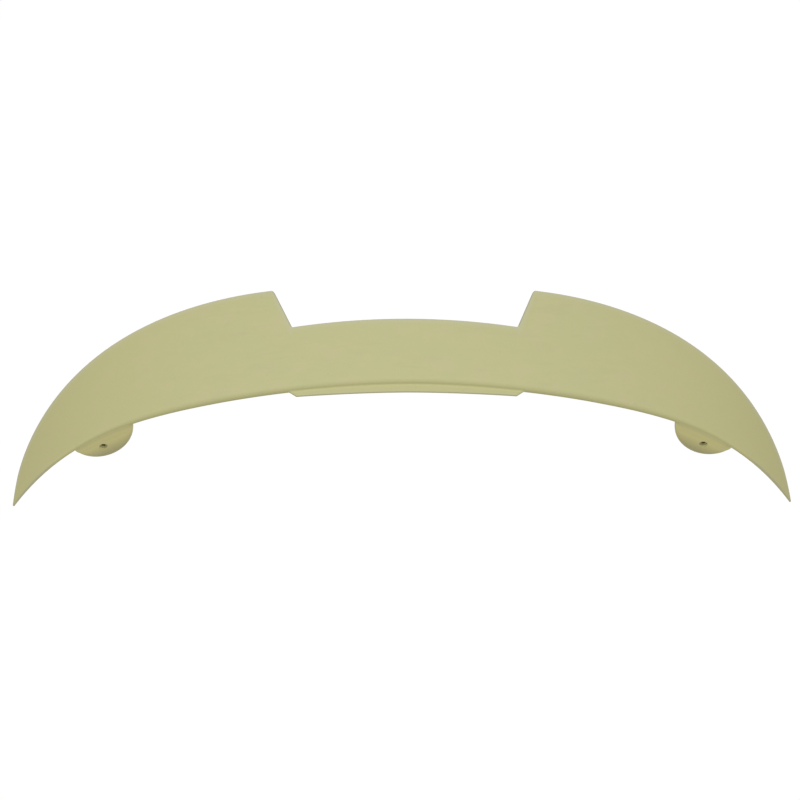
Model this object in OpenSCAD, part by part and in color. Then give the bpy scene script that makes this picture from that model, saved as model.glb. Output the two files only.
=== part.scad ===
// Roof spoiler for a hatchback, moulded in one piece from polyurethane foam with a closed skin.
// X runs across the car, +Y towards the rear, +Z up. The two screw holes lie on the X axis of the
// frame, so the origin is the middle of the line between them.

/* [Overall] */
// Width from tip to tip
span = 1228; // [1150:1:1320]
// Radius of the crown across the car, as on the roof
crown_r = 1550; // [1400:10:2200]
// How far the tips hang below that radius
tip_droop = 50; // [30:1:65]
// Slope of the top, down towards the rear, in degrees
rake = 5; // [2:0.5:9]
// Extra fall of the top 100 mm behind the nose, which grows with the square of the distance
camber = 1.2; // [0:0.1:2.5]

/* [Leading edge] */
// Even forward sweep of the leading edge from the middle to the tips
nose_sweep = 59; // [45:1:80]
// Further forward hook of the tips
tip_hook = 82; // [65:1:95]
// Radius of the nose over most of the width
nose_r = 8.8; // [7:0.1:10]
// Radius of the nose at the tips
tip_r = 2.8; // [2.6:0.1:4]
// Distance from the middle at which the nose starts to thin
thin_from = 300; // [240:5:380]

/* [Trailing edge] */
// Distance from the nose to the rear of each wing
wing_reach = 177; // [165:1:200]
// Distance from the middle at which the round of the wing starts
wing_peak_x = 165; // [130:1:200]
// Fullness of the wing's rounded end: 2 is an ellipse, more is squarer
wing_fullness = 2.14; // [1.8:0.02:2.4]
// Thickness of the trailing edge
edge_t = 5; // [4:0.1:5.2]

/* [Brake light notch] */
// Width of the notch at its floor
notch_floor_w = 354; // [300:1:380]
// How far each side of the notch slants out between its floor and its mouth
notch_slant = 31; // [20:1:50]
// Distance from the nose to the notch floor, in the middle
neck = 110.5; // [95:0.5:125]
// How far the notch floor bows back between its corners
floor_bow = 10; // [4:0.5:14]

/* [Middle lip] */
// Width of the lip at its front
lip_w = 338; // [280:1:390]
// Depth of the lip in front of the nose, in the middle
lip_depth = 12; // [10:0.1:18]
// How much less deep the lip is at its ends
lip_taper = 4; // [0:0.1:5]
// Thickness of the lip
lip_t = 4; // [3:0.1:5]
// Width over which each end of the lip slants back to the nose
lip_slant = 11; // [8:0.5:24]
// Fall of the lip towards its front
lip_fall = 2; // [0:0.5:5]

/* [Screw feet] */
// Distance from the middle to each screw hole
foot_x = 471; // [455:1:485]
// Width of each foot
foot_w = 97; // [85:1:110]
// Depth of each foot below the underside of the nose, at the screw hole
foot_drop = 55.5; // [48:0.5:62]
// Thickness of each foot
foot_t = 8; // [7:0.1:10]
// How far the foot stands back from the front of the nose
foot_set_back = 2; // [1.5:0.1:5]
// How far the foot leans forward at its lowest point
foot_lean = 7; // [0:0.1:8]
// How far the foot's face bulges forward halfway down
foot_bulge = 3.8; // [0:0.1:4]
// Rounding of the foot's front lower edge
foot_round_r = 4; // [1:0.1:5]
// Height of the screw hole above the lowest point of the foot
hole_up = 34.5; // [24:0.5:38]
// Diameter of the screw hole
hole_d = 6.5; // [5:0.1:8]
// Diameter of the flat seats round the hole, front and back
seat_d = 12; // [10:0.5:14]
// Depth of the front seat below the foot's face, at the hole
seat_depth = 2.3; // [2.1:0.1:3]
// Thickness left between the two seats
seat_wall = 5; // [3:0.1:6]

/* [Hidden] */

half = span / 2;
tip_w = 16;
tip_y = -nose_sweep - tip_hook;
lip_half = lip_w / 2;
floor_half = notch_floor_w / 2;
mouth_half = floor_half + notch_slant;
sweep_power = 1.7;
hook_power = 6.5;
droop_power = 7;
thin_power = 1.5;

// Where the foot's face meets the nose: 90 degrees is the top of the nose, 180 its front
foot_top_angle = 238;

// Stations across one half: even arcs towards the tip, then the foot and the corners
span_steps = 30;
foot_steps = 14;
near = 1.2;

// Points on one section
top_steps = 11;
low_steps = 9;

function clamp01(v) = min(1, max(0, v));
function mix(a, b, k) = a + (b - a) * k;

// Height of the top over the plan, with the nose's middle at zero
function crown(a) = -a * a / (2 * crown_r) - tip_droop * pow(a / half, droop_power);
function top(a, y) = crown(a) - tan(rake) * y - camber * pow(max(0, y) / 100, 2);

// Leading edge, where the top rolls into the nose
function lead(a) = -nose_sweep * pow(a / half, sweep_power) - tip_hook * pow(a / half, hook_power);
function nose(a) =
    mix(nose_r, tip_r, pow(clamp01((a - thin_from) / (half - thin_from)), thin_power));

// Trailing edge: the notch floor, its slanted side, then the round of the wing
function wing(a) =
    let (out = clamp01((a - wing_peak_x) / (half - wing_peak_x)))
    tip_y + tip_w
    + (wing_reach - tip_y - tip_w) * pow(1 - pow(out, wing_fullness), 1 / wing_fullness);
function notch_floor(a) = neck - floor_bow * pow(a / floor_half, 2);
function trail(a) =
    a <= floor_half ? notch_floor(a)
    : a < mouth_half ? mix(notch_floor(floor_half), wing(mouth_half),
                           (a - floor_half) / (mouth_half - floor_half))
    : wing(a);

// Underside of the nose, and how far a foot hangs below it
function nose_bottom(a) = top(a, lead(a)) - 2 * nose(a);
foot_low = nose_bottom(foot_x) - foot_drop;
foot_root = nose_bottom(foot_x - foot_w / 2);
function foot_round(a) = sqrt(max(0, 1 - pow((a - foot_x) / (foot_w / 2), 2)));
function foot_hang(a) =
    abs(a - foot_x) >= foot_w / 2 ? 0
    : max(0, nose_bottom(a) - mix(foot_root, foot_low, foot_round(a)));
function foot_part(a) = clamp01(foot_hang(a) / foot_t);
function foot_plane(a) = lead(a) - nose(a) + foot_set_back;
function foot_back(a) = foot_plane(a) + foot_t;

// Face of the foot, at a share of its height above its rounded lower edge
function foot_face(a, share) =
    foot_plane(a)
    - (foot_lean * (1 - share) + foot_bulge * 4 * share * (1 - share)) * foot_hang(a) / foot_drop;

function on_nose(a, angle) =
    [lead(a) + nose(a) * cos(angle), top(a, lead(a)) - nose(a) + nose(a) * sin(angle)];

foot_top = on_nose(foot_x, foot_top_angle)[1];
hole_share = (hole_up - foot_round_r) / (foot_top - foot_low - foot_round_r);
hole_face = foot_face(foot_x, hole_share);

// Thickness from the nose to the trailing edge
function thick(a, k) = mix(edge_t, 2 * nose(a), (1 + cos(180 * k)) / 2);

// One section, as [y, z] points from the trailing edge over the top, round the nose and back
function edge_points(a) =
    let (e = edge_t / 2, y = trail(a) - e)
    [for (angle = [-45, 0, 45]) [y + e * cos(angle), top(a, y) - e + e * sin(angle)]];
function top_points(a) =
    let (from = trail(a) - edge_t / 2, to = lead(a))
    [for (i = [0:top_steps]) let (y = mix(from, to, i / top_steps)) [y, top(a, y)]];
function lip_points(a) =
    let (
        k = clamp01((lip_half + lip_slant - a) / lip_slant),
        root = on_nose(a, 180),
        front = root[0] - lip_depth + lip_taper * pow(a / lip_half, 2),
        high = root[1] - lip_fall,
        low = high - lip_t,
        full = [[front + 1.5, high + 0.2], [front, high - 1.2], [front, low + 1], [front + 1, low]]
    )
    concat(
        [on_nose(a, 176)],
        [for (i = [0:3]) mix(on_nose(a, 183 + 7 * i), full[i], k)],
        [on_nose(a, 212)]
    );
function foot_points(a) =
    let (
        front = foot_face(a, 0),
        back = front + foot_t,
        low = nose_bottom(a) - foot_hang(a),
        high = on_nose(a, foot_top_angle)[1],
        r = min(foot_round_r, foot_hang(a) / 2),
        full = [
            for (share = [0.75, 0.5, 0.25]) [foot_face(a, share), mix(low + r, high, share)],
            [front, low + r], [front + 0.3 * r, low + 0.3 * r], [front + r, low],
            [back - 1.5, low], [back, low + 1.5]
        ]
    )
    concat(
        [on_nose(a, 231)],
        [for (i = [0:7]) mix(on_nose(a, foot_top_angle + 4 * i), full[i], foot_part(a))]
    );
function low_points(a) =
    let (
        nose_end = lead(a),
        from = mix(nose_end, max(nose_end, foot_back(a) + 0.5), foot_part(a)),
        to = trail(a) - edge_t / 2
    )
    [for (i = [0:low_steps])
        let (y = mix(from, to, i / low_steps))
        [y, top(a, y) - thick(a, (y - nose_end) / (to - nose_end))]];
function section(a) = concat(
    edge_points(a),
    top_points(a),
    [for (angle = [112, 134, 155]) on_nose(a, angle)],
    lip_points(a),
    foot_points(a),
    low_points(a)
);

// Sorted stations with none closer than near, from one tip to the other
function sorted(v) =
    len(v) < 2 ? v
    : let (p = v[floor(len(v) / 2)])
      concat(sorted([for (q = v) if (q < p) q]), [for (q = v) if (q == p) q],
             sorted([for (q = v) if (q > p) q]));
corners = [floor_half, mouth_half, lip_half, lip_half + lip_slant, half];
function clear_of_corners(v) = min([for (c = corners) abs(v - c)]) >= near;
spaced = [
    for (i = [0:span_steps - 1]) half * sin(90 * i / span_steps)
];
foot_stations = [
    for (i = [0:foot_steps]) foot_x - foot_w / 2 * cos(180 * i / foot_steps)
];
off_foot = [for (v = spaced) if (abs(v - foot_x) > foot_w / 2 + near && clear_of_corners(v)) v];
half_stations = sorted(concat(off_foot, foot_stations, corners));
stations = concat(
    [for (i = [len(half_stations) - 1:-1:1]) -half_stations[i]],
    half_stations
);

// The moulding as one closed skin over its sections
module moulding() {
    rows = [for (x = stations) section(abs(x))];
    n = len(rows[0]);
    m = len(rows);
    points = [for (i = [0:m - 1]) for (p = rows[i]) [stations[i], p[0], p[1]]];
    sides = [
        for (i = [0:m - 2]) for (j = [0:n - 1])
            let (k = (j + 1) % n)
            each [
                [i * n + j, i * n + k, (i + 1) * n + k],
                [i * n + j, (i + 1) * n + k, (i + 1) * n + j]
            ]
    ];
    left_end = [for (j = [n - 1:-1:0]) j];
    right_end = [for (j = [0:n - 1]) (m - 1) * n + j];
    polyhedron(points = points, faces = concat(sides, [left_end, right_end]), convexity = 8);
}

// Screw hole through one foot, with a flat seat on each face of the foot
module screw_hole(side) {
    front_seat = hole_face + seat_depth;
    back_seat = front_seat + seat_wall;
    reach = foot_t + nose_r;
    translate([side * foot_x, 0, foot_low + hole_up]) rotate([-90, 0, 0]) {
        translate([0, 0, hole_face - reach]) cylinder(d = hole_d, h = 2 * reach + foot_t, $fn = 48);
        translate([0, 0, hole_face - reach]) cylinder(d = seat_d, h = seat_depth + reach, $fn = 48);
        translate([0, 0, back_seat]) cylinder(d = seat_d, h = reach, $fn = 48);
    }
}

module spoiler() {
    color([0.75, 0.745, 0.555])
    translate([0, -hole_face - seat_depth, -foot_low - hole_up])
    difference() {
        moulding();
        screw_hole(1);
        screw_hole(-1);
    }
}

spoiler();
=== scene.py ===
import math

import bmesh
import bpy
from mathutils import Matrix, Quaternion, Vector


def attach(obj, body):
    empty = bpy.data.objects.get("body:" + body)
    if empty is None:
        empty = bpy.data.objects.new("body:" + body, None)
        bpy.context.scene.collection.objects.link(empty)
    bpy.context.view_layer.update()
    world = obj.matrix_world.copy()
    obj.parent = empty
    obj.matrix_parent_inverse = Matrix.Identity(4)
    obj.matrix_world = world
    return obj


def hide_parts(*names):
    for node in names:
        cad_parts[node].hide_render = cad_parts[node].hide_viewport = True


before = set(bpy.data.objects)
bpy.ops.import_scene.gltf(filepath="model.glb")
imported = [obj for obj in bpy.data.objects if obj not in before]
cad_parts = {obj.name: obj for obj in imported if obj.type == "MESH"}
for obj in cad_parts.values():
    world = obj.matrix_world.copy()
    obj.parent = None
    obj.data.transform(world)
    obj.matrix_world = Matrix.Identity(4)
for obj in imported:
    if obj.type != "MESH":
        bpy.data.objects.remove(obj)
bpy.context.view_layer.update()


# Camera
# The photograph looks at the spoiler from in front and above, through a long lens, with the
# leading edge towards the lens and the camera a little to the left of the middle.
VIEW_TARGET = Vector((-0.0090, 0.0520, 0.0492))
VIEW_DISTANCE = 2.4
VIEW_ELEVATION = math.radians(62)
VIEW_AZIMUTH = math.radians(-4.32)
VIEW_ROLL = math.radians(3.65)
LENS_MM = 69.36

back = Vector((
    math.sin(VIEW_AZIMUTH) * math.cos(VIEW_ELEVATION),
    -math.cos(VIEW_AZIMUTH) * math.cos(VIEW_ELEVATION),
    math.sin(VIEW_ELEVATION),
))
camera = bpy.data.objects.new("camera", bpy.data.cameras.new("camera"))
camera.data.sensor_width = 36
camera.data.lens = LENS_MM
camera.data.clip_end = 20
camera.rotation_mode = "QUATERNION"
camera.rotation_quaternion = (-back).to_track_quat("-Z", "Y") @ Quaternion((0, 0, 1), VIEW_ROLL)
camera.location = VIEW_TARGET + back * VIEW_DISTANCE
bpy.context.collection.objects.link(camera)
bpy.context.scene.camera = camera
bpy.context.scene.view_settings.view_transform = "Standard"


# Moulding
# The whole spoiler is one piece of polyurethane foam with a closed skin, shot into a closed
# mould. A section follows the blade's trailing edge, top, nose, lip, foot and underside, and is
# drawn from the middle of the car out to one tip. The sizes here are in millimetres.
HALF_SPAN = 614
CROWN_RADIUS = 1550
TIP_DROOP = 50
DROOP_POWER = 7
RAKE = math.radians(5)
CAMBER = 1.2

NOSE_SWEEP = 59
SWEEP_POWER = 1.7
TIP_HOOK = 82
HOOK_POWER = 6.5
NOSE_RADIUS = 8.8
TIP_NOSE_RADIUS = 2.8
THIN_FROM = 300
THIN_POWER = 1.5

WING_REACH = 177
WING_PEAK = 165
WING_FULLNESS = 2.14
EDGE_THICKNESS = 5
TIP_CHORD = 16
TIP_ROUND = 3.4

NOTCH_FLOOR_HALF = 177
NOTCH_MOUTH_HALF = 208
NOTCH_NECK = 110.5
NOTCH_BOW = 10
NOTCH_FLOOR_ROUND = 1.5
NOTCH_MOUTH_ROUND = 3.5
NOTCH_CORNERS = (
    (NOTCH_FLOOR_HALF, NOTCH_FLOOR_ROUND),
    (NOTCH_MOUTH_HALF, NOTCH_MOUTH_ROUND),
)

LIP_HALF = 169
LIP_DEPTH = 12
LIP_TAPER = 4
LIP_THICKNESS = 4
LIP_SLANT = 11
LIP_FALL = 2
LIP_ROOT_ANGLE = 178
LIP_UNDER_ANGLE = 212
LIP_ROOT_ROUND = 1.8
LIP_EDGE_ROUND = 1.7

FOOT_X = 471
FOOT_HALF = 48.5
FOOT_DROP = 55.5
FOOT_THICKNESS = 8
FOOT_SET_BACK = 2
FOOT_LEAN = 7
FOOT_BULGE = 3.8
FOOT_ROOT_ANGLE = 176
FOOT_TOP_ANGLE = 238
FOOT_ROOT_FALL = 20
FOOT_FILLET = 8
FOOT_FRONT_ROUND = 4
FOOT_BACK_ROUND = 2.4
HOLE_UP = 34.5
SEAT_DEPTH = 2.3

# Where the plain nose is drawn by the lip's and the foot's points, in degrees round it
NOSE_ARC_END = 158
PLAIN_LIP_END = 226
PLAIN_FOOT_START = 231
PLAIN_FOOT_END = 267
ARC_STEP = 15


def clamp01(v):
    return min(1, max(0, v))


def ease(v):
    return (1 - math.cos(math.pi * clamp01(v))) / 2


def mix(a, b, k):
    return a + (b - a) * k


def crown(x):
    return -x * x / (2 * CROWN_RADIUS) - TIP_DROOP * (x / HALF_SPAN) ** DROOP_POWER


def top(x, y):
    return crown(x) - math.tan(RAKE) * y - CAMBER * (max(0, y) / 100) ** 2


def lead(x):
    return -NOSE_SWEEP * (x / HALF_SPAN) ** SWEEP_POWER - TIP_HOOK * (x / HALF_SPAN) ** HOOK_POWER


def nose(x):
    thinned = clamp01((x - THIN_FROM) / (HALF_SPAN - THIN_FROM)) ** THIN_POWER
    return mix(NOSE_RADIUS, TIP_NOSE_RADIUS, thinned)


TIP_BACK = TIP_CHORD - NOSE_SWEEP - TIP_HOOK


def wing(x):
    out = clamp01((x - WING_PEAK) / (HALF_SPAN - WING_PEAK))
    return TIP_BACK + (WING_REACH - TIP_BACK) * (1 - out ** WING_FULLNESS) ** (1 / WING_FULLNESS)


def notch_floor(x):
    return NOTCH_NECK - NOTCH_BOW * (x / NOTCH_FLOOR_HALF) ** 2


def sharp_trail(x):
    if x <= NOTCH_FLOOR_HALF:
        return notch_floor(x)
    if x < NOTCH_MOUTH_HALF:
        k = (x - NOTCH_FLOOR_HALF) / (NOTCH_MOUTH_HALF - NOTCH_FLOOR_HALF)
        return mix(notch_floor(NOTCH_FLOOR_HALF), wing(NOTCH_MOUTH_HALF), k)
    return wing(x)


def trail(x):
    """Trailing edge, with the two corners of the notch rounded as a cutter leaves them."""
    for corner, reach in NOTCH_CORNERS:
        k = (x - corner + reach) / (2 * reach)
        if 0 < k < 1:
            y0, y1, y2 = (sharp_trail(corner + side * reach) for side in (-1, 0, 1))
            return mix(mix(y0, y1, k), mix(y1, y2, k), k)
    return sharp_trail(x)


def slope(curve, x):
    """Steepness of a plan or height curve at x."""
    step = 0.05
    near = min(x, HALF_SPAN - step)
    return (curve(near + step) - curve(near - step)) / (2 * step)


def nose_bottom(x):
    return top(x, lead(x)) - 2 * nose(x)


FOOT_LOW = nose_bottom(FOOT_X) - FOOT_DROP
FOOT_ROOT = nose_bottom(FOOT_X - FOOT_HALF)


def foot_outline(x):
    """Lower rim of the half-round foot."""
    out = clamp01(abs(x - FOOT_X) / FOOT_HALF)
    return mix(FOOT_ROOT, FOOT_LOW, math.sqrt(1 - out * out))


def foot_hang(x):
    """How far the foot hangs below the nose, with a fillet where its outer side comes up."""
    if abs(x - FOOT_X) >= FOOT_HALF:
        return 0
    hang = nose_bottom(x) - foot_outline(x)
    if x > FOOT_X and abs(hang) < FOOT_FILLET:
        return (hang + FOOT_FILLET) ** 2 / (4 * FOOT_FILLET)
    return max(0, hang)


def foot_share(x):
    """How far the section is a foot's and not the plain nose's."""
    return clamp01(foot_hang(x) / FOOT_THICKNESS)


def foot_plane(x):
    return lead(x) - nose(x) + FOOT_SET_BACK


def foot_face(x, share):
    """Face of the foot, at a share of its height above its rounded lower edge."""
    bulge = FOOT_BULGE * 4 * share * (1 - share)
    return foot_plane(x) - (FOOT_LEAN * (1 - share) + bulge) * foot_hang(x) / FOOT_DROP


def on_nose(x, degrees):
    """Point on the nose: 90 is the top, 180 the front and 270 the bottom."""
    turn = math.radians(degrees)
    return Vector((
        lead(x) + nose(x) * math.cos(turn),
        top(x, lead(x)) - nose(x) + nose(x) * math.sin(turn),
    ))


def rounded(before, corner, after, reach, steps):
    """A corner of the section, rounded over reach along each of its sides."""
    start = corner + (before - corner).normalized() * min(reach, (before - corner).length / 2)
    stop = corner + (after - corner).normalized() * min(reach, (after - corner).length / 2)
    points = []
    for i in range(steps + 1):
        k = i / steps
        points.append(start.lerp(corner, k).lerp(corner.lerp(stop, k), k))
    return points


def edge_part(x):
    """Half-round trailing edge, from the underside to the top."""
    half_edge = EDGE_THICKNESS / 2
    chord = trail(x) - lead(x)
    depth = min(half_edge * math.hypot(1, slope(trail, x)), 0.3 * chord)
    points = []
    for degrees in range(-90, 91, ARC_STEP):
        turn = math.radians(degrees)
        y = trail(x) - depth + depth * math.cos(turn)
        points.append(Vector((y, top(x, y) - half_edge + half_edge * math.sin(turn))))
    return points


def top_part(x, start):
    """Top of the blade, from the trailing edge to where it rolls into the nose."""
    steps = 22
    points = []
    for i in range(1, steps):
        y = mix(start, lead(x), ease(i / steps))
        points.append(Vector((y, top(x, y))))
    return points


def lip_part(x):
    """Middle lip under the nose, drawn back into the nose past its slanted ends."""
    k = clamp01((LIP_HALF + LIP_SLANT - x) / LIP_SLANT)
    root = on_nose(x, 180)
    depth = LIP_DEPTH - LIP_TAPER * (x / LIP_HALF) ** 2
    high = Vector((root.x - depth, root.y - LIP_FALL))
    low = high - Vector((-0.6, LIP_THICKNESS))
    lip_root = on_nose(x, LIP_ROOT_ANGLE)
    under_root = on_nose(x, LIP_UNDER_ANGLE)
    full = rounded(on_nose(x, 150), lip_root, high, LIP_ROOT_ROUND, 5)
    full += [lip_root.lerp(high, i / 5) for i in (2, 3, 4)]
    full += rounded(lip_root, high, low, LIP_EDGE_ROUND, 5)
    full += rounded(high, low, under_root, LIP_EDGE_ROUND, 4)
    full += [low.lerp(under_root, i / 3) for i in (1, 2)]
    full += rounded(low, under_root, on_nose(x, 232), 1.5, 3)
    last = len(full) - 1
    end = mix(PLAIN_LIP_END, FOOT_ROOT_ANGLE - 2, foot_share(x))
    return [on_nose(x, mix(NOSE_ARC_END, end, i / last)).lerp(p, k) for i, p in enumerate(full)]


def foot_part(x):
    """Screw foot under the nose, with a rounded rim, drawn back into the nose beside it."""
    k = foot_share(x)
    low = nose_bottom(x) - foot_hang(x)
    front = foot_face(x, 0)
    behind = front + FOOT_THICKNESS
    stretch = math.hypot(1, slope(foot_outline, x))
    room = 0.45 * foot_hang(x) + 0.5
    front_drop = min(FOOT_FRONT_ROUND * stretch, room)
    back_drop = min(FOOT_BACK_ROUND * stretch, room)
    face_low = low + front_drop
    face_high = on_nose(x, FOOT_TOP_ANGLE).y

    def on_face(z):
        return Vector((foot_face(x, clamp01((z - face_low) / (face_high - face_low))), z))

    start = on_nose(x, FOOT_ROOT_ANGLE)
    stop = on_face(max(start.y - FOOT_ROOT_FALL, mix(start.y, face_low, 0.6)))
    corner = Vector((stop.x, mix(start.y, stop.y, 0.5)))
    full = [start.lerp(corner, i / 7).lerp(corner.lerp(stop, i / 7), i / 7) for i in range(8)]
    full += [on_face(mix(stop.y, face_low, i / 10)) for i in range(1, 10)]
    for degrees in range(180, 271, ARC_STEP):
        turn = math.radians(degrees)
        full.append(Vector((
            front + FOOT_FRONT_ROUND * (1 + math.cos(turn)),
            low + front_drop * (1 + math.sin(turn)),
        )))
    full.append(Vector((mix(front + FOOT_FRONT_ROUND, behind - FOOT_BACK_ROUND, 0.5), low)))
    for degrees in range(270, 361, ARC_STEP):
        turn = math.radians(degrees)
        full.append(Vector((
            behind - FOOT_BACK_ROUND * (1 - math.cos(turn)),
            low + back_drop * (1 + math.sin(turn)),
        )))
    last = len(full) - 1
    first = mix(PLAIN_FOOT_START, FOOT_ROOT_ANGLE + 2, k)
    plain = [on_nose(x, mix(first, PLAIN_FOOT_END, i / last)) for i in range(last + 1)]
    return [p.lerp(q, k) for p, q in zip(plain, full)]


def under_part(x, stop):
    """Underside, which thins from the nose to the trailing edge."""
    start = mix(lead(x), max(lead(x), foot_plane(x) + FOOT_THICKNESS + 0.5), foot_share(x))
    steps = 20
    points = []
    for i in range(steps):
        y = mix(start, stop, ease(i / steps))
        share = (y - lead(x)) / (stop - lead(x))
        thick = mix(EDGE_THICKNESS, 2 * nose(x), (1 + math.cos(math.pi * share)) / 2)
        points.append(Vector((y, top(x, y) - thick)))
    return points


def section(x):
    edge = edge_part(x)
    arc = [on_nose(x, mix(90, NOSE_ARC_END, i / 12)) for i in range(12)]
    return (
        edge + top_part(x, edge[-1].x) + arc + lip_part(x) + foot_part(x)
        + under_part(x, edge[0].x)
    )


# Stations out from the middle: close together at the lip's ends, the notch, the foot and the tip
stations = {HALF_SPAN * math.sin(math.pi / 2 * i / 60) for i in range(60)}
stations |= {mix(LIP_HALF - 2, LIP_HALF + LIP_SLANT + 2, i / 12) for i in range(13)}
stations |= {mix(NOTCH_FLOOR_HALF, NOTCH_MOUTH_HALF, i / 12) for i in range(13)}
for corner, reach in NOTCH_CORNERS:
    stations |= {corner + reach * i / 3 for i in range(-4, 5)}
stations |= {FOOT_X - FOOT_HALF * math.cos(math.pi * i / 48) for i in range(49)}
stations |= {HALF_SPAN - TIP_ROUND * (1 - math.sin(math.pi / 2 * i / 8)) for i in range(9)}
NEAREST = 0.04
spaced = [0.0]
for x in sorted(stations):
    if x - spaced[-1] > NEAREST:
        spaced.append(x)

skin = bmesh.new()
ring = bmesh.ops.create_circle(skin, segments=len(section(0)), radius=1)["verts"]
for x in spaced:
    if x > 0:
        loop = [skin.edges.get((ring[i - 1], ring[i])) for i in range(len(ring))]
        made = set(bmesh.ops.extrude_edge_only(skin, edges=loop)["geom"])
        ring = [
            next(e.other_vert(v) for e in v.link_edges if e.other_vert(v) in made)
            for v in ring
        ]
    outline = section(min(x, HALF_SPAN - 0.01))
    middle = sum(outline, Vector((0, 0))) / len(outline)
    shrink = math.sqrt(1 - clamp01((x - HALF_SPAN + TIP_ROUND) / TIP_ROUND) ** 2)
    for v, p in zip(ring, outline):
        y, z = middle.lerp(p, shrink)
        v.co = (x, y, z)
bmesh.ops.pointmerge(skin, verts=ring, merge_co=sum((v.co for v in ring), Vector()) / len(ring))
bmesh.ops.mirror(
    skin, geom=skin.verts[:] + skin.edges[:] + skin.faces[:], matrix=Matrix.Identity(4),
    merge_dist=0.001, axis="X",
)
bmesh.ops.remove_doubles(skin, verts=skin.verts, dist=0.0005)
bmesh.ops.recalc_face_normals(skin, faces=skin.faces)
foot_height = on_nose(FOOT_X, FOOT_TOP_ANGLE).y - FOOT_LOW - FOOT_FRONT_ROUND
hole_share = (HOLE_UP - FOOT_FRONT_ROUND) / foot_height
hole_centre = Vector((0, foot_face(FOOT_X, hole_share) + SEAT_DEPTH, FOOT_LOW + HOLE_UP))
bmesh.ops.translate(skin, verts=skin.verts, vec=-hole_centre)
bmesh.ops.scale(skin, verts=skin.verts, vec=(0.001, 0.001, 0.001))
moulding = bpy.data.objects.new("moulding", bpy.data.meshes.new("moulding"))
skin.to_mesh(moulding.data)
skin.free()
bpy.context.collection.objects.link(moulding)


# Screw holes
# Each foot is bored through for its screw and faced flat on both sides for a washer, with the
# sharp edge broken. The cutter is spun from half its outline, measured in millimetres from the
# front seat along the screw.
HOLE_RADIUS = 3.25
SEAT_RADIUS = 6
SEAT_WALL = 5
BROKEN_EDGE = 0.4
SEAT_FLARE = 0.8
PAST_FACE = 0.2
CUTTER_REACH = 22

back_face = (
    foot_plane(FOOT_X) - FOOT_LEAN * (1 - hole_share) + FOOT_THICKNESS - hole_centre.y
)
half_outline = [
    (0, -CUTTER_REACH),
    (SEAT_RADIUS + SEAT_FLARE, -CUTTER_REACH),
    (SEAT_RADIUS + SEAT_FLARE, -SEAT_DEPTH - PAST_FACE),
    (SEAT_RADIUS, -SEAT_DEPTH + SEAT_FLARE),
    (SEAT_RADIUS, -BROKEN_EDGE),
    (SEAT_RADIUS - BROKEN_EDGE, 0),
    (HOLE_RADIUS + BROKEN_EDGE, 0),
    (HOLE_RADIUS, BROKEN_EDGE),
    (HOLE_RADIUS, SEAT_WALL - BROKEN_EDGE),
    (HOLE_RADIUS + BROKEN_EDGE, SEAT_WALL),
    (SEAT_RADIUS - BROKEN_EDGE, SEAT_WALL),
    (SEAT_RADIUS, SEAT_WALL + BROKEN_EDGE),
    (SEAT_RADIUS, back_face - SEAT_FLARE),
    (SEAT_RADIUS + SEAT_FLARE, back_face + PAST_FACE),
    (SEAT_RADIUS + SEAT_FLARE, CUTTER_REACH),
    (0, CUTTER_REACH),
]
cutter_mesh = bmesh.new()
for side in (-1, 1):
    corners = [cutter_mesh.verts.new((side * FOOT_X + r, y, 0)) for r, y in half_outline]
    edges = [cutter_mesh.edges.new(pair) for pair in zip(corners, corners[1:])]
    bmesh.ops.spin(
        cutter_mesh, geom=corners + edges, cent=(side * FOOT_X, 0, 0), axis=(0, 1, 0),
        angle=math.tau, steps=40, use_merge=True,
    )
bmesh.ops.remove_doubles(cutter_mesh, verts=cutter_mesh.verts, dist=0.0005)
bmesh.ops.recalc_face_normals(cutter_mesh, faces=cutter_mesh.faces)
bmesh.ops.scale(cutter_mesh, verts=cutter_mesh.verts, vec=(0.001, 0.001, 0.001))
cutter = bpy.data.objects.new("cutter", bpy.data.meshes.new("cutter"))
cutter_mesh.to_mesh(cutter.data)
cutter_mesh.free()
bpy.context.collection.objects.link(cutter)

bore = moulding.modifiers.new("bore", "BOOLEAN")
bore.object = cutter
bore.operation = "DIFFERENCE"
bore.solver = "EXACT"
bored = bpy.data.meshes.new_from_object(
    moulding.evaluated_get(bpy.context.evaluated_depsgraph_get()),
)
moulding.modifiers.remove(bore)
moulding.data = bored
bpy.data.objects.remove(cutter)


# Edges and hollows
# Painted shade greys tight corners, a painted highlight runs along the trailing edge and painted
# light fills the hollows. Upright faces get painted shade, and the feet painted light under the
# nose and painted shade towards their lower rims. The mesh carries all of this to the material;
# corners and hollows are turns in a millimetre.
EDGE_TURN = 0.4
HOLLOW_TURN = 0.12
RIM_WIDTH = 10
FOOT_HEIGHT = 60
SHORTEST_SPACING = 0.2
BEHIND_FOOT = 0.2
CREASE = math.radians(32)

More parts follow.
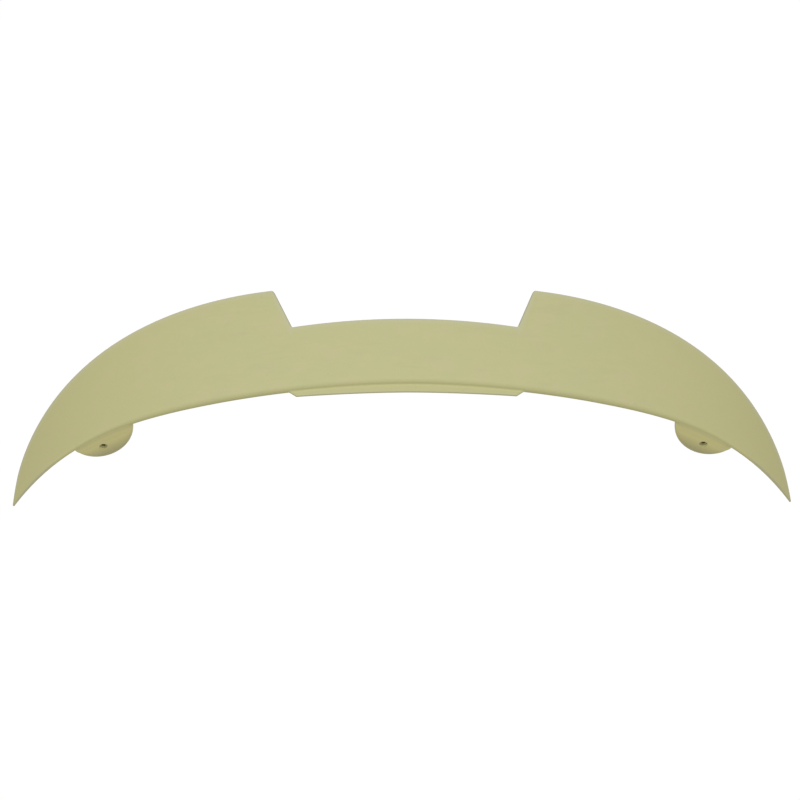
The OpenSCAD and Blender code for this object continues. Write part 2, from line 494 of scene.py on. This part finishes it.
# The bore leaves a few points within two thousandths of a millimetre of each other
BORE_WELD = 0.000002
skin = bmesh.new()
skin.from_mesh(moulding.data)
bmesh.ops.remove_doubles(skin, verts=skin.verts, dist=BORE_WELD)
upright_layer = skin.verts.layers.float.new("upright")
edge_layer = skin.verts.layers.float.new("edge")
hollow_layer = skin.verts.layers.float.new("hollow")
rim_layer = skin.verts.layers.float.new("rim")
foot_layer = skin.verts.layers.float.new("foot")
for v in skin.verts:
    turns = []
    for e in v.link_edges:
        if len(e.link_faces) == 2:
            apart = sum(f.calc_area() for f in e.link_faces) / (2 * e.calc_length())
            turns.append(e.calc_face_angle_signed(0) / max(apart * 1000, SHORTEST_SPACING))
    v[upright_layer] = 1 - abs(v.normal.z)
    v[edge_layer] = clamp01(max(turns) / EDGE_TURN)
    v[hollow_layer] = clamp01(-min(turns) / HOLLOW_TURN)
    x, y, z = v.co * 1000 + hole_centre
    x = min(abs(x), HALF_SPAN)
    v[rim_layer] = clamp01(1 - (trail(x) - y) / math.hypot(1, slope(trail, x)) / RIM_WIDTH)
    if y < foot_plane(x) + FOOT_THICKNESS + BEHIND_FOOT:
        v[foot_layer] = foot_share(x) * clamp01((nose_bottom(x) + nose(x) - z) / FOOT_HEIGHT)
for layer in (edge_layer, hollow_layer):
    soft = [
        (v[layer] + sum(e.other_vert(v)[layer] for e in v.link_edges) / len(v.link_edges)) / 2
        for v in skin.verts
    ]
    for v, value in zip(skin.verts, soft):
        v[layer] = value
for e in skin.edges:
    e.smooth = e.calc_face_angle(0) < CREASE
skin.to_mesh(moulding.data)
skin.free()
moulding.data.shade_smooth()
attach(moulding, "root")
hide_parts("spoiler")


# Finish
# The moulding is sold unpainted, so its finish is the skin of the foam itself: matt, a pale
# greenish yellow, with faint clouds and flow marks where the foam met the mould, scattered
# pinholes and the fine grain of the mould's surface.
FOAM = (0.527, 0.515, 0.262, 1)
FOAM_GREEN = (0.512, 0.514, 0.266, 1)
FOAM_WARM = (0.552, 0.512, 0.284, 1)
# Painted shade: a darker, yellower tone for the tips, where the blade turns away from the light
FOAM_END_SHADE = (0.527, 0.500, 0.240, 1)
# Painted shade for upright faces, which take less of the light from above
UPRIGHT_SHADE = (0.495, 0.466, 0.207, 1)
# Painted light for the feet, which the nose shades from above
FOOT_LIGHT = (0.643, 0.590, 0.260, 1)
# Painted shade for the lower part of the feet, which turns down from the light
FOOT_LOW_SHADE = (0.430, 0.400, 0.190, 1)
# Tone of the flow marks, and painted shade at tight convex edges
FLOW_AND_EDGE_SHADE = (0.400, 0.392, 0.262, 1)
# Painted highlight along the trailing edge
TRAIL_HIGHLIGHT = (0.545, 0.530, 0.350, 1)
# Painted shade in the pinholes
PINHOLE_SHADE = (0.400, 0.380, 0.165, 1)
# Painted light in the hollows, which lifts the shade of the creases
HOLLOW_LIGHT = (0.600, 0.580, 0.290, 1)
# Painted shade in the screw holes and their seats
HOLE_SHADE = (0.100, 0.090, 0.040, 1)

foam = bpy.data.materials.new("foam_skin")
foam.use_nodes = True
foam.node_tree.nodes.clear()


def feed(socket, source):
    """Link an output to a socket of the foam, or set a plain value on it."""
    if isinstance(source, bpy.types.NodeSocket):
        foam.node_tree.links.new(source, socket)
    else:
        socket.default_value = source


def foam_node(kind, **inputs):
    """New node of the foam, with its inputs fed by name."""
    made = foam.node_tree.nodes.new(kind)
    for name, source in inputs.items():
        feed(made.inputs[name.replace("_", " ")], source)
    return made


def worked(operation, *values):
    """Result of a sum on outputs or plain numbers."""
    made = foam_node("ShaderNodeMath")
    made.operation = operation
    for socket, value in zip(made.inputs, values):
        feed(socket, value)
    return made.outputs[0]


def tinted(under, tint, amount):
    """A colour with some of another over it."""
    made = foam_node("ShaderNodeMix")
    made.data_type = "RGBA"
    feed(made.inputs[0], amount)
    feed(made.inputs[6], under)
    feed(made.inputs[7], tint)
    return made.outputs[2]


def spread(output, low, high, to_low=0, to_high=1):
    """Stretch of a value from low..high to to_low..to_high, held at both ends."""
    return foam_node(
        "ShaderNodeMapRange", Value=output,
        From_Min=low, From_Max=high, To_Min=to_low, To_Max=to_high,
    ).outputs["Result"]


def carried(name, low, high, strongest):
    """Strength of a tint where the mesh carries a value from low to high under this name."""
    made = foam_node("ShaderNodeAttribute")
    made.attribute_name = name
    return spread(made.outputs["Fac"], low, high, 0, strongest)


place = foam_node("ShaderNodeTexCoord").outputs["Object"]
across = foam_node("ShaderNodeSeparateXYZ", Vector=place)
outward = worked("ABSOLUTE", across.outputs["X"])

clouds = foam_node("ShaderNodeTexNoise", Vector=place, Scale=13, Detail=4, Roughness=0.55)
patches = foam_node("ShaderNodeTexNoise", Vector=place, Scale=31, Detail=3, Roughness=0.5)
stretched = foam_node("ShaderNodeMapping", Vector=place, Scale=(0.22, 1, 1), Location=(3, 1, 2))
flow = foam_node(
    "ShaderNodeTexNoise", Vector=stretched.outputs["Vector"],
    Scale=70, Detail=4, Roughness=0.6, Distortion=0.8,
)
colour = tinted(FOAM, FOAM_GREEN, spread(clouds.outputs["Fac"], 0.46, 0.62, 0, 0.7))
colour = tinted(colour, FOAM_WARM, spread(patches.outputs["Fac"], 0.5, 0.68, 0, 0.65))
colour = tinted(colour, FLOW_AND_EDGE_SHADE, spread(flow.outputs["Fac"], 0.5, 0.8, 0, 0.14))
# Painted shade, darker and yellower towards the tips
colour = tinted(colour, FOAM_END_SHADE, spread(outward, 0.28, 0.58, 0, 0.8))

# One cell in ten has a pinhole in its middle, painted darker as the shade in its pit
cells = foam_node("ShaderNodeTexVoronoi", Vector=place, Scale=150, Randomness=1)
chance = foam_node("ShaderNodeSeparateColor", Color=cells.outputs["Color"]).outputs[0]
pinhole = worked(
    "MULTIPLY", spread(cells.outputs["Distance"], 0.05, 0.1, 1, 0), spread(chance, 0.9, 0.91),
)
colour = tinted(colour, PINHOLE_SHADE, spread(pinhole, 0, 1, 0, 0.6))

# Painted shade on upright faces, stronger the more upright they stand
colour = tinted(colour, UPRIGHT_SHADE, carried("upright", 0, 1, 0.9))
# Painted highlight along the trailing edge, fading over its width
colour = tinted(colour, TRAIL_HIGHLIGHT, carried("rim", 0, 1, 0.9))
# Painted shade at tight convex edges
colour = tinted(colour, FLOW_AND_EDGE_SHADE, carried("edge", 0.8, 1, 0.8))
# Painted light in the hollows
colour = tinted(colour, HOLLOW_LIGHT, carried("hollow", 0, 1, 0.8))
# Painted light on the feet below the nose
colour = tinted(colour, FOOT_LIGHT, carried("foot", 0, 0.16, 0.9))
# Painted shade towards the feet's lower rims
colour = tinted(colour, FOOT_LOW_SHADE, carried("foot", 0.35, 0.85, 0.9))

# Painted shade round each hole: the seat is painted a little darker and the bore much darker, where
# shade falls in them
off_axis = foam_node(
    "ShaderNodeCombineXYZ", X=worked("SUBTRACT", outward, FOOT_X / 1000), Z=across.outputs["Z"],
)
from_axis = foam_node("ShaderNodeVectorMath", Vector=off_axis.outputs[0])
from_axis.operation = "LENGTH"
colour = tinted(colour, HOLE_SHADE, spread(from_axis.outputs["Value"], 0.0060, 0.0064, 0.4, 0))
colour = tinted(colour, HOLE_SHADE, spread(from_axis.outputs["Value"], 0.0033, 0.0037, 0.9, 0))

# Mould grain, a slight orange peel, and the pinholes sunk below both
grain = foam_node("ShaderNodeTexNoise", Vector=place, Scale=1500, Detail=3, Roughness=0.6)
peel = foam_node("ShaderNodeTexNoise", Vector=place, Scale=260, Detail=2, Roughness=0.5)
relief = foam_node("ShaderNodeBump", Height=grain.outputs["Fac"], Strength=0.25, Distance=0.0002)
relief = foam_node(
    "ShaderNodeBump", Height=peel.outputs["Fac"], Normal=relief.outputs["Normal"],
    Strength=0.3, Distance=0.0004,
)
relief = foam_node(
    "ShaderNodeBump", Height=pinhole, Normal=relief.outputs["Normal"],
    Strength=0.6, Distance=0.0006,
)
relief.invert = True

shader = foam_node(
    "ShaderNodeBsdfPrincipled", Base_Color=colour, Normal=relief.outputs["Normal"],
    Roughness=spread(patches.outputs["Fac"], 0.3, 0.7, 0.54, 0.68), Specular_IOR_Level=0.25,
)
foam_node("ShaderNodeOutputMaterial", Surface=shader.outputs["BSDF"])
moulding.data.materials.clear()
moulding.data.materials.append(foam)


# Studio
# A pale floor well below the part and soft light from a wide lamp overhead, so that nothing on
# the matt skin is harsh. Floor and sky show white, and the floor keeps a faint shadow.
SKY_LIGHT = 0.713
KEY_WIDTH = 2
KEY_WATTS = 8.4
KEY_PLACE = Vector((-0.12, -0.05, 1.5))
FLOOR_DROP = 0.5
FLOOR_REACH = 12
FLOOR_GREY = (0.7, 0.7, 0.7, 1)
FLOOR_GLOW = 1.03
GLOW_SHARE = 0.96
WHITE = (1, 1, 1, 1)

world = bpy.data.worlds.new("studio")
bpy.context.scene.world = world
world.use_nodes = True
sky = world.node_tree.nodes["Background"]
sky.inputs["Color"].default_value = WHITE
sky_seen = world.node_tree.nodes.new("ShaderNodeLightPath")
sky_level = world.node_tree.nodes.new("ShaderNodeMapRange")
sky_level.inputs["To Min"].default_value = SKY_LIGHT
sky_level.inputs["To Max"].default_value = 1
world.node_tree.links.new(sky_seen.outputs["Is Camera Ray"], sky_level.inputs["Value"])
world.node_tree.links.new(sky_level.outputs["Result"], sky.inputs["Strength"])

key = bpy.data.objects.new("key", bpy.data.lights.new("key", "AREA"))
key.data.shape = "DISK"
key.data.size = KEY_WIDTH
key.data.energy = KEY_WATTS
key.location = KEY_PLACE
key.rotation_mode = "QUATERNION"
key.rotation_quaternion = (-KEY_PLACE).to_track_quat("-Z", "Y")
bpy.context.collection.objects.link(key)

floor_sheet = bmesh.new()
bmesh.ops.create_grid(floor_sheet, x_segments=1, y_segments=1, size=FLOOR_REACH)
bmesh.ops.translate(floor_sheet, verts=floor_sheet.verts, vec=(0, 0, -FLOOR_DROP))
floor = bpy.data.objects.new("floor", bpy.data.meshes.new("floor"))
floor_sheet.to_mesh(floor.data)
floor_sheet.free()
bpy.context.collection.objects.link(floor)

floor_paint = bpy.data.materials.new("floor_white")
floor_paint.use_nodes = True
floor_nodes = floor_paint.node_tree.nodes
floor_links = floor_paint.node_tree.links
floor_nodes.clear()
floor_lit = floor_nodes.new("ShaderNodeBsdfDiffuse")
floor_lit.inputs["Color"].default_value = FLOOR_GREY
floor_glow = floor_nodes.new("ShaderNodeEmission")
floor_glow.inputs["Color"].default_value = WHITE
floor_glow.inputs["Strength"].default_value = FLOOR_GLOW
floor_seen = floor_nodes.new("ShaderNodeLightPath")
glow_share = floor_nodes.new("ShaderNodeMath")
glow_share.operation = "MULTIPLY"
glow_share.inputs[1].default_value = GLOW_SHARE
floor_mix = floor_nodes.new("ShaderNodeMixShader")
floor_out = floor_nodes.new("ShaderNodeOutputMaterial")
floor_links.new(floor_seen.outputs["Is Camera Ray"], glow_share.inputs[0])
floor_links.new(glow_share.outputs[0], floor_mix.inputs[0])
floor_links.new(floor_lit.outputs[0], floor_mix.inputs[1])
floor_links.new(floor_glow.outputs[0], floor_mix.inputs[2])
floor_links.new(floor_mix.outputs[0], floor_out.inputs["Surface"])
floor.data.materials.append(floor_paint)
